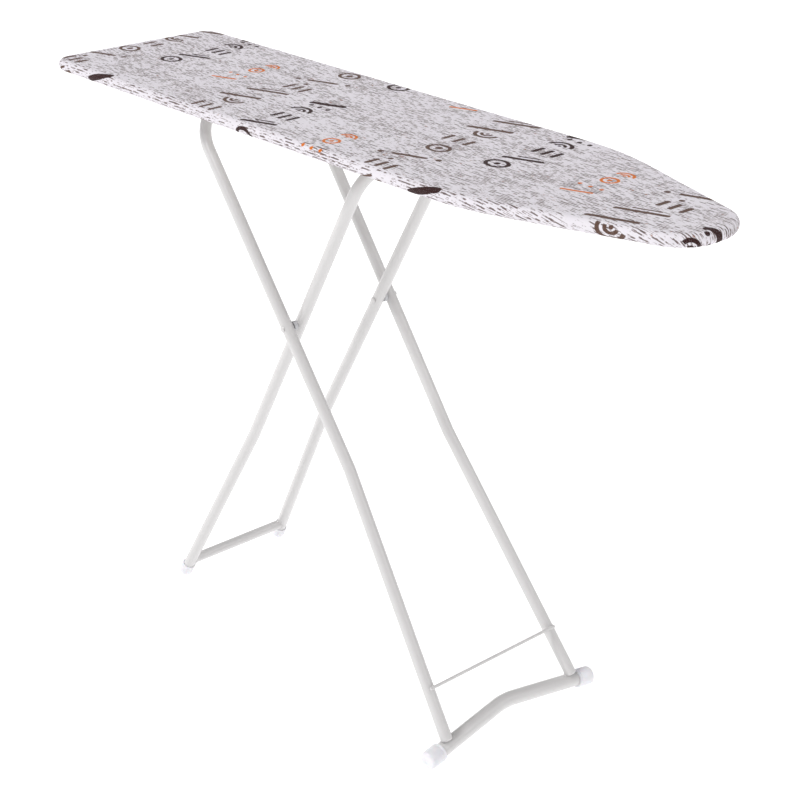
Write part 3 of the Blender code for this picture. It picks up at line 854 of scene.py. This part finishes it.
def build_cover(mat):
    """Cloth over the top, round the edge and into the gathered hem."""
    bm = bmesh.new()
    uv = bm.loops.layers.uv.new("cloth")
    place = {}
    rows = cover_rows(bm, place)
    for a, b in zip(rows, rows[1:]):
        for j in range(COLUMNS):
            bm.faces.new((a[j], b[j], b[j + 1], a[j + 1]))
    edge = [row[0] for row in rows] + rows[-1][1:-1] + [row[-1] for row in reversed(rows)]
    edge += list(reversed(rows[0][1:-1]))
    loops = [edge]
    ring = edge_ring(EDGE_R)
    lengths = ring_lengths(ring)
    profile = cover_profile()
    for inset, z, run, share in profile[1:]:
        sunk = z - SOFT_DEPTH * (1 - share)
        loop = []
        for (point, normal), length in zip(ring, lengths):
            vert = bm.verts.new(hem_point(point, normal, length, inset, sunk, share))
            flat = point + normal * run
            place[vert] = (flat.x, flat.y)
            loop.append(vert)
        loops.append(loop)
    skin(bm, loops)
    for face in bm.faces:
        for corner in face.loops:
            corner[uv].uv = place[corner.vert]
    obj = finish_mesh("cover", bm, mat, "board", ["fabric_cover"], angle=80)
    thick = obj.modifiers.new("cloth", "SOLIDIFY")
    thick.thickness = CLOTH_T
    thick.offset = -1
    wrap = profile[-1][2]
    flat = (2 * (HALF_WIDTH - EDGE_R + wrap), 2 * (HALF_LENGTH - EDGE_R + wrap))


def build_stitching(mat):
    """Short raised stitches along the hem, just outside the elastic's casing."""
    bm = bmesh.new()
    share = gather_share((STITCH_INSET - EDGE_R) / (HEM_INSET - EDGE_R))
    path = hem_path(STITCH_INSET, EDGE_Z - EDGE_R - STITCH_R * 0.4, share)
    carried = 0.0
    for i in range(len(path)):
        a = path[i]
        b = path[(i + 1) % len(path)]
        span = (b - a).length
        while carried < span:
            start = a.lerp(b, carried / span)
            stop = start + (b - a).normalized() * STITCH_LENGTH
            middle = (start + stop) / 2 - Vector((0, 0, STITCH_R))
            add_tube(bm, [start, middle, stop], [STITCH_R * 0.5, STITCH_R, STITCH_R * 0.5], 5)
            carried += STITCH_PITCH
        carried -= span
    return finish_mesh("hem_stitching", bm, mat, "board", angle=80)


def build_elastic(mat):
    """Elastic cord inside the hem's casing."""
    path = hem_path(HEM_INSET + CASING_R + ELASTIC_GAP, EDGE_Z - EDGE_R + CASING_R * 0.6, 1.0)
    return tube_piece("hem_elastic", path, ELASTIC_R, 10, mat, "board",
                      ["cover_elastic"], closed=True, angle=80)


def add_ring(bm, inset, z):
    """Vertices all round the board at an inset and a height."""
    loop = []
    for point, normal in edge_ring(EDGE_R):
        flat = point + normal * (EDGE_R - inset)
        loop.append(bm.verts.new((flat.x, flat.y, z)))
    return loop


def build_pad(mat):
    """Felt under the cover, turned down over the sheet's edge."""
    bm = bmesh.new()
    outer = EDGE_R - CLOTH_T - PAD_GAP
    profile = arc((EDGE_R, EDGE_Z - SOFT_DEPTH), outer, 90, 198, 12)
    inner = outer - PAD_T
    profile.append((EDGE_R - inner, profile[-1][1]))
    profile.append((EDGE_R - inner, EDGE_Z))
    profile.append((EDGE_R - inner, SHEET_TOP + PAD_GAP))
    loops = [add_ring(bm, inset, z) for inset, z in profile]
    skin(bm, loops)
    bm.faces.new(loops[0])
    bm.faces.new(loops[-1])
    obj = finish_mesh("felt_pad", bm, mat, "board", ["foam_pad"])
    return obj


# ------------------------------------------------------------------ steel of the board

def inner_half(x):
    """Half width of the board at x, on the straight sides."""
    if x <= TAPER_X:
        return HALF_WIDTH
    return HALF_WIDTH - (x - TAPER_X) * (HALF_WIDTH - NOSE_HALF) / (HALF_LENGTH - TAPER_X)


def in_sheet(x, y, inset):
    """True where a point lies inside the board's outline by at least the inset."""
    if abs(x) > HALF_LENGTH - inset or abs(y) > inner_half(x) - inset:
        return False
    tail = (-HALF_LENGTH + TAIL_RADIUS, HALF_WIDTH - TAIL_RADIUS, TAIL_RADIUS)
    nose = (HALF_LENGTH - NOSE_RADIUS, NOSE_HALF + NOSE_SPREAD - NOSE_RADIUS * 0.5, NOSE_RADIUS)
    for cx, cy, radius in (tail, nose):
        beyond = (x - cx) * (1 if cx > 0 else -1)
        if beyond > 0 and abs(y) > cy and math.hypot(beyond, abs(y) - cy) > radius - inset:
            return False
    return True


def add_cell(bm, x, y):
    """One open diamond of the sheet: four flat strands."""
    corners = [(x + CELL_X / 2, y), (x, y + CELL_Y / 2), (x - CELL_X / 2, y), (x, y - CELL_Y / 2)]
    shrink = 1 - STRAND / CELL_Y * 1.1
    outer = [bm.verts.new((px, py, SHEET_TOP)) for px, py in corners]
    hole = []
    for px, py in corners:
        hole.append(bm.verts.new((x + (px - x) * shrink, y + (py - y) * shrink, SHEET_TOP)))
    skin(bm, [outer, hole])


def build_sheet(mat):
    """Expanded metal with a plain border band."""
    bm = bmesh.new()
    columns = int(2 * HALF_LENGTH / CELL_X * 2)
    rows = int(2 * HALF_WIDTH / CELL_Y * 2)
    for i in range(columns):
        for j in range(rows):
            x = -HALF_LENGTH + i * CELL_X / 2
            y = -HALF_WIDTH + j * CELL_Y / 2
            if (i + j) % 2 == 0 and in_sheet(x, y, SHEET_BAND - SHEET_LAP):
                add_cell(bm, x, y)
    skin(bm, [add_ring(bm, inset, SHEET_TOP - BAND_DROP) for inset in (SHEET_EDGE, SHEET_BAND)])
    obj = finish_mesh("expanded_sheet", bm, mat, "board", ["mesh_top"])
    thick = obj.modifiers.new("steel", "SOLIDIFY")
    thick.thickness = SHEET_T
    thick.offset = -1 if obj.data.polygons[0].normal.z > 0 else 1
    return obj


def build_rim(mat):
    """Rolled channel round the board."""
    low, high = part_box("rim_frame")
    foot = low.z + RIM_R
    top = high.z - RIM_GAP
    profile = arc((RIM_NEAR + RIM_R, foot), RIM_R, 180, 270, 4)
    profile += arc((RIM_FAR - RIM_R, foot), RIM_R, 270, 360, 4)
    profile += [(RIM_FAR, top), (RIM_NEAR, top)]
    bm = bmesh.new()
    skin(bm, [add_ring(bm, inset, z) for inset, z in profile], closed=True)
    return finish_mesh("rim", bm, mat, "board", ["rim_frame"])


def build_board_steel(coat, zinc, nylon):
    """Everything fixed under the board: sheet, rim, ribs, rack and the two hinges."""
    build_sheet(coat)
    build_rim(coat)
    for place in ("tail", "hinge", "middle", "nose", "tip"):
        refined("cross_rib_" + place, "rib_" + place, coat, "board", 0.0004)
    refined("rack", "height_rack", zinc, "board", 0.00035)
    for side in ("left", "right"):
        refined("bush_" + side, "hinge_bush_" + side, nylon, "board", 0.0003)
        refined("clamp_" + side, "hinge_clamp_" + side, zinc, "board", 0.0003)
    for number in range(1, 5):
        refined("rivet_%d" % number, "hinge_rivet_%d" % number, zinc, "board",
                0.0002)


# ------------------------------------------------------------------ leg frames

def on_outer(s, y, lift=0.0):
    return Vector((PIVOT.x, y, PIVOT.z)) + OUTER_AXIS * s + OUTER_LIFT * lift


def on_inner(s, y):
    return Vector((PIVOT.x, y, PIVOT.z)) + INNER_AXIS * s


def leg_half(s, bend, end, half):
    """Half the distance between the legs, below the bend."""
    return half[1] + (half[2] - half[1]) * (s - bend) / (end - bend)


def frame_path(place, top, bend, end, half, u_radius):
    """Middle line of a leg frame: up one leg, across the top and down the other."""
    points = [place(end, -half[2]), place(bend, -half[1]), place(top, -half[0]),
              place(top, half[0]), place(bend, half[1]), place(end, half[2])]
    return rounded(points, [LEG_BEND_R, u_radius, u_radius, LEG_BEND_R], 14)


def closed_ends(path, radius, length):
    """Path and radii whose two ends are spun closed over a short length."""
    radii = [radius] * len(path)
    steps = 5
    for end in (0, -1):
        inner = path[1] if end == 0 else path[-2]
        tip = path[end]
        outward = (tip - inner).normalized()
        extra = []
        for k in range(1, steps + 1):
            a = math.radians(88 * k / steps)
            back = length * (1 - math.sin(a))
            extra.append((tip - outward * back, radius * (0.25 + 0.75 * math.cos(a))))
        base = tip - outward * length
        if end == 0:
            path = [p for p, _ in reversed(extra)] + [base] + path[1:]
            radii = [r for _, r in reversed(extra)] + radii
        else:
            path = path[:-1] + [base] + [p for p, _ in extra]
            radii = radii + [r for _, r in extra]
    return path, radii


def meeting_line(point, axis, radius, other, other_axis, other_radius, steps):
    """Curve where one round tube runs into another; None where it misses."""
    axis = axis.normalized()
    other_axis = other_axis.normalized()
    u = axis.orthogonal().normalized()
    v = axis.cross(u)
    across = axis - axis.dot(other_axis) * other_axis
    curve = []
    for k in range(steps):
        a = 2 * math.pi * k / steps
        start = point + radius * (math.cos(a) * u + math.sin(a) * v)
        gap = start - other
        gap = gap - gap.dot(other_axis) * other_axis
        b = gap.dot(across)
        inside = b * b - across.length_squared * (gap.length_squared - other_radius ** 2)
        if inside < 0:
            curve.append(None)
        else:
            curve.append(start + axis * (-b - math.sqrt(inside)) / across.length_squared)
    return curve


def add_bead(bm, curve, closed, size=WELD_R):
    """Weld bead with the ripples of its passes."""
    dense = []
    count = len(curve)
    for i in range(count if closed else count - 1):
        a = curve[i]
        b = curve[(i + 1) % count]
        dense += [a, a.lerp(b, 0.5)]
    if not closed:
        dense.append(curve[-1])
    radii = []
    run = 0.0
    for i, point in enumerate(dense):
        run += (point - dense[i - 1]).length if i else 0.0
        radii.append(size * (1 + 0.16 * math.sin(2 * math.pi * run / WELD_RIPPLE)))
    if not closed:
        radii[0] *= 0.5
        radii[-1] *= 0.5
    add_tube(bm, dense, radii, 12, closed)


def bar_path(reach):
    """Middle line of the arched foot bar, out to a distance each side."""
    ends = []
    for sign in (-1, 1):
        ends.append(BAR_MIDDLE + Vector((BAR_SLOPE.x, sign, BAR_SLOPE.z)) * reach)
    return rounded([ends[0], BAR_MIDDLE, ends[1]], [BAR_BEND], 16)


def build_outer_frame(coat, plastic, nylon):
    """Bent leg tube, foot bar, brace and pivots of the outer frame."""
    path = frame_path(on_outer, OUTER_TOP, OUTER_BEND, OUTER_END, OUTER_HALF, OUTER_U_RADIUS)
    path, radii = closed_ends(path, TUBE_R, SPUN_END)
    tube_piece("outer_legs", path, radii, TUBE_SIDES, coat, "outer_frame",
               ["outer_leg_tube"])
    tube_piece("foot_bar", bar_path(BAR_END_Y), BAR_R, TUBE_SIDES, coat, "outer_frame",
               ["outer_foot_bar"])
    reach = leg_half(BRACE_S, OUTER_BEND, OUTER_END, OUTER_HALF)
    lift = TUBE_R + BRACE_R * 0.7
    end = reach + BRACE_OVERHANG
    tube_piece("brace", [on_outer(BRACE_S, -end, lift), on_outer(BRACE_S, end, lift)], BRACE_R, 24,
               coat, "outer_frame", ["brace_rod"])
    build_outer_welds(coat, reach)
    for side, sign in (("left", 1), ("right", -1)):
        build_cap(side, sign, plastic)
        refined("pivot_rivet_" + side, "pivot_pin_" + side, coat, "outer_frame",
                0.0005, 3)
        refined("pivot_washer_" + side, "pivot_spacer_" + side, nylon, "outer_frame",
                0.0005)


def build_outer_welds(mat, brace_reach):
    """Beads where the legs meet the foot bar and where the brace meets the legs."""
    bm = bmesh.new()
    slope = (OUTER_HALF[2] - OUTER_HALF[1]) / (OUTER_END - OUTER_BEND)
    for sign in (-1, 1):
        foot = on_outer(OUTER_END, sign * OUTER_HALF[2])
        axis = OUTER_AXIS + Vector((0, sign * slope, 0))
        bar_axis = Vector((BAR_SLOPE.x, sign, BAR_SLOPE.z))
        bar_point = BAR_MIDDLE + bar_axis * OUTER_HALF[2]
        curve = meeting_line(foot, axis, TUBE_R, bar_point, bar_axis, BAR_R, 40)
        limit = foot - axis.normalized() * 0.0005
        kept = [p for p in curve if p is not None and (p - limit).dot(axis) < 0]
        kept.sort(key=lambda p: p.y)
        if len(kept) > 2:
            add_bead(bm, kept, False)
        for way in (-1, 1):
            spot = on_outer(BRACE_S + way * BRACE_R, sign * brace_reach, TUBE_R - 0.0002)
            run = Vector((0, 0.005, 0))
            add_bead(bm, [spot - run, spot, spot + run], False, WELD_R / 2)
    finish_mesh("outer_welds", bm, mat, "outer_frame", angle=80)


def lip(start, outer, r):
    """Quarter round from a sleeve's open rim to its face, as (distance, radius)."""
    points = []
    for degrees in range(0, 91, 15):
        a = math.radians(degrees)
        points.append((start + r - r * math.cos(a), outer - r + r * math.sin(a)))
    return points


def groove(start, outer, slope, depth):
    """Shallow groove round a sleeve, as (distance, radius)."""
    far = start + slope + GROOVE_FLOOR
    return [(start, outer), (start + slope, outer - depth), (far, outer - depth),
            (far + slope, outer)]


def build_cap(side, sign, mat):
    """Moulded sleeve on the bar's end: rolled lip, straight barrel, rounded closed end."""
    axis = Vector((BAR_SLOPE.x, sign, BAR_SLOPE.z)).normalized()
    start = CAP_INNER_Y / abs(axis.y)
    stop = CAP_OUTER_Y / abs(axis.y)
    bore = BAR_R + SLEEVE_GAP
    profile = [(start + CAP_THROAT, bore), (start, bore)]
    profile += lip(start, CAP_R, CAP_LIP_R)
    profile += groove(start + 0.0038, CAP_R, 0.0004, 0.0003)
    for degrees in range(0, 91, 10):
        a = math.radians(degrees)
        profile.append((stop - CAP_END_R + CAP_END_R * math.sin(a),
                        CAP_R - CAP_END_R + CAP_END_R * math.cos(a)))
    profile += [(stop + 0.0001, 0.0040), (stop - 0.0003, 0.0034), (stop - 0.0003, 0.0004)]
    bm = bmesh.new()
    add_lathe(bm, profile, BAR_MIDDLE.copy(), axis)
    flatten_floor(bm)
    finish_mesh("foot_cap_" + side, bm, mat, "outer_frame",
                ["outer_foot_cap_" + side])


def build_inner_frame(coat, plastic):
    """Bent leg tube, cross tube, weld beads and tips of the inner frame."""
    path = frame_path(on_inner, INNER_TOP, INNER_BEND, INNER_END, INNER_HALF, INNER_U_RADIUS)
    tube_piece("inner_legs", path, TUBE_R, TUBE_SIDES, coat, "inner_frame",
               ["inner_leg_tube"])
    half = leg_half(CROSSBAR_S, INNER_BEND, INNER_END, INNER_HALF)
    tube_piece("crossbar", [on_inner(CROSSBAR_S, -half), on_inner(CROSSBAR_S, half)], CROSSBAR_R,
               32, coat, "inner_frame", ["inner_crossbar"])
    slope = (INNER_HALF[2] - INNER_HALF[1]) / (INNER_END - INNER_BEND)
    bm = bmesh.new()
    for sign in (-1, 1):
        leg_axis = INNER_AXIS + Vector((0, sign * slope, 0))
        leg_point = on_inner(CROSSBAR_S, sign * half)
        curve = meeting_line(on_inner(CROSSBAR_S, 0), Vector((0, sign, 0)), CROSSBAR_R,
                             leg_point, leg_axis, TUBE_R, 30)
        add_bead(bm, curve, True)
    finish_mesh("inner_welds", bm, coat, "inner_frame", angle=80)
    for side, sign in (("left", 1), ("right", -1)):
        build_tip(side, sign, slope, plastic)


def build_tip(side, sign, slope, mat):
    """Moulded tip pushed on a leg's end: lip, groove and half round foot."""
    reach = leg_half(TIP_CENTRE_S, INNER_BEND, INNER_END, INNER_HALF)
    origin = on_inner(TIP_CENTRE_S, sign * reach)
    axis = INNER_AXIS + Vector((0, sign * slope, 0))
    rim = TIP_RIM_S - TIP_CENTRE_S
    bore = TUBE_R + SLEEVE_GAP
    profile = [(rim + TIP_THROAT, bore), (rim, bore)]
    profile += lip(rim, TIP_R, TIP_LIP_R)
    profile += groove(rim + 0.0030, TIP_R, 0.0003, 0.00025)
    for degrees in range(0, 88, 6):
        a = math.radians(degrees)
        profile.append((TIP_R * math.sin(a), TIP_R * math.cos(a)))
    bm = bmesh.new()
    add_lathe(bm, profile, origin, axis)
    flatten_floor(bm)
    finish_mesh("foot_tip_" + side, bm, mat, "inner_frame",
                ["inner_foot_tip_" + side])


# ------------------------------------------------------------------ release bail

def build_bail(steel, plastic):
    """Bent wire bail with its cross wire and ribbed grip."""
    px = BAIL_PIVOT.x
    pz = BAIL_PIVOT.z
    half = BAIL_HALF
    run = BAIL_RUN_Z
    points = [(px, -BAIL_EAR_Y, pz), (px, -half, pz), (px - BAIL_DROP_X, -half, run),
              (BAIL_LOOP_X, -half, run), (BAIL_LOOP_X, half, run),
              (px - BAIL_DROP_X, half, run), (px, half, pz), (px, BAIL_EAR_Y, pz)]
    tube_piece("bail_wire", rounded(points, BAIL_BENDS, 8), BAIL_R, 20, steel, "release_handle",
               ["release_bail"])
    reach = half - BAIL_R * 0.6
    tube_piece("bail_cross_wire", [Vector((TIE_X, -reach, run)), Vector((TIE_X, reach, run))],
               TIE_R, 16, steel, "release_handle", ["bail_tie"])
    refined("grip", "bail_grip", plastic, "release_handle", 0.0004)
    low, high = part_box("bail_grip")
    bm = bmesh.new()
    for k in range(GRIP_RIBS):
        x = low.x + GRIP_RIB_START + GRIP_RIB_PITCH * k
        for z in (low.z, high.z):
            ends = [Vector((x, low.y + GRIP_RIB_INSET, z)), Vector((x, high.y - GRIP_RIB_INSET, z))]
            add_tube(bm, ends, GRIP_RIB_R, 10)
    finish_mesh("grip_ribs", bm, plastic, "release_handle")


def build_spring(steel):
    """Close-wound extension spring, straight at each end."""
    top = Vector((TIE_X, 0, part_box("height_rack")[1].z))
    low = Vector((TIE_X, 0, BAIL_RUN_Z))
    path = [top - Vector((0, 0, 0.0003)), Vector((TIE_X, 0, COIL_TOP + COIL_LEAD))]
    for k in range(COIL_TURNS * COIL_STEPS + 1):
        a = 2 * math.pi * k / COIL_STEPS
        z = COIL_TOP + (COIL_LOW - COIL_TOP) * k / (COIL_TURNS * COIL_STEPS)
        path.append(Vector((TIE_X + COIL_R * math.cos(a), COIL_R * math.sin(a), z)))
    path += [Vector((TIE_X, 0, COIL_LOW - COIL_LEAD)), low + Vector((0, 0, 0.0022))]
    obj = tube_piece("pull_spring", path, COIL_WIRE_R, 8, steel, None,
                     ["bail_spring"], angle=80)
    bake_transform(obj)


# ------------------------------------------------------------------ stage

CAMERA_PLACE = (1.8234, -1.6095, 1.5395)
CAMERA_YAW = 47.859
CAMERA_PITCH = -24.644
CAMERA_ROLL = 0.348
CAMERA_LENS = 81.16
CAMERA_SENSOR = 36.0
FLOOR_HALF = 300.0
SKY_FADE = 0.42
SKY_LOW = 1.05
SKY_HIGH = 0.20


def build_camera():
    """Camera at the photograph's place and angle."""
    data = bpy.data.cameras.new("camera")
    data.lens = CAMERA_LENS
    data.sensor_width = CAMERA_SENSOR
    cam = bpy.data.objects.new("camera", data)
    turn = (Matrix.Rotation(math.radians(CAMERA_YAW), 4, "Z")
            @ Matrix.Rotation(math.radians(90 + CAMERA_PITCH), 4, "X")
            @ Matrix.Rotation(math.radians(CAMERA_ROLL), 4, "Z"))
    cam.matrix_world = Matrix.Translation(CAMERA_PLACE) @ turn
    bpy.context.scene.collection.objects.link(cam)
    bpy.context.scene.camera = cam


def build_floor():
    """Plain white floor with a glow of its own, so that it shows no shadows."""
    bm = bmesh.new()
    bmesh.ops.create_grid(bm, x_segments=1, y_segments=1, size=FLOOR_HALF)
    mesh = bpy.data.meshes.new("floor")
    bm.to_mesh(mesh)
    bm.free()
    mat = new_material("floor", Base_Color=(0.45, 0.45, 0.45, 1), Roughness=0.95,
                       Emission_Color=(1, 1, 1, 1), Emission_Strength=0.85)[0]
    mesh.materials.append(mat)
    floor = bpy.data.objects.new("floor", mesh)
    bpy.context.scene.collection.objects.link(floor)


def soft_sun(name, azimuth, elevation, angle, strength):
    """Distant soft box: azimuth is where it stands, counted from +X towards +Y, in degrees."""
    data = bpy.data.lights.new(name, "SUN")
    data.angle = math.radians(angle)
    data.energy = strength
    lamp = bpy.data.objects.new(name, data)
    lamp.rotation_euler = (0, math.radians(90 - elevation), math.radians(azimuth))
    bpy.context.scene.collection.objects.link(lamp)


def build_lights():
    """Sky that darkens upwards, three soft suns and a narrow one for the tubes' highlight."""
    bpy.context.scene.view_settings.view_transform = "Standard"
    world = bpy.data.worlds.new("studio")
    bpy.context.scene.world = world
    world.use_nodes = True
    n = Nodes(world.node_tree)
    sky = world.node_tree.nodes["Background"]
    height = n.add("ShaderNodeSeparateXYZ", {0: n.add("ShaderNodeTexCoord", {}, 0)}, 2)
    n.put(sky.inputs["Color"], (1.0, 1.0, 1.0, 1.0))
    n.put(sky.inputs["Strength"], n.ramp(height, 0.0, SKY_FADE, SKY_LOW, SKY_HIGH))
    soft_sun("overhead", 0, 88, 50, 0.45)
    soft_sun("key", -122, 50, 11, 1.48)
    soft_sun("line", -65, 40, 4, 0.35)
    soft_sun("fill", 25, 35, 40, 0.50)


# ------------------------------------------------------------------ assembly

def build():
    """Make every material, piece and the stage."""
    coat = powder_coat()
    zinc = zinc_steel()
    steel = drawn_steel()
    plastic = moulded_plastic("white_plastic", srgb(236, 235, 240), 0.36, 0.08)
    nylon = moulded_plastic("grey_nylon", srgb(196, 196, 199), 0.45, 0.0)
    build_stitching(braid("thread", srgb(232, 230, 230), 0.0006))
    build_elastic(braid("elastic", srgb(228, 226, 222), 0.0014))
    build_pad(felt())
    build_cover(printed_cotton())
    build_board_steel(coat, zinc, nylon)
    build_outer_frame(coat, plastic, nylon)
    build_inner_frame(coat, plastic)
    build_bail(steel, plastic)
    build_spring(steel)
    build_camera()
    build_floor()
    build_lights()


build()
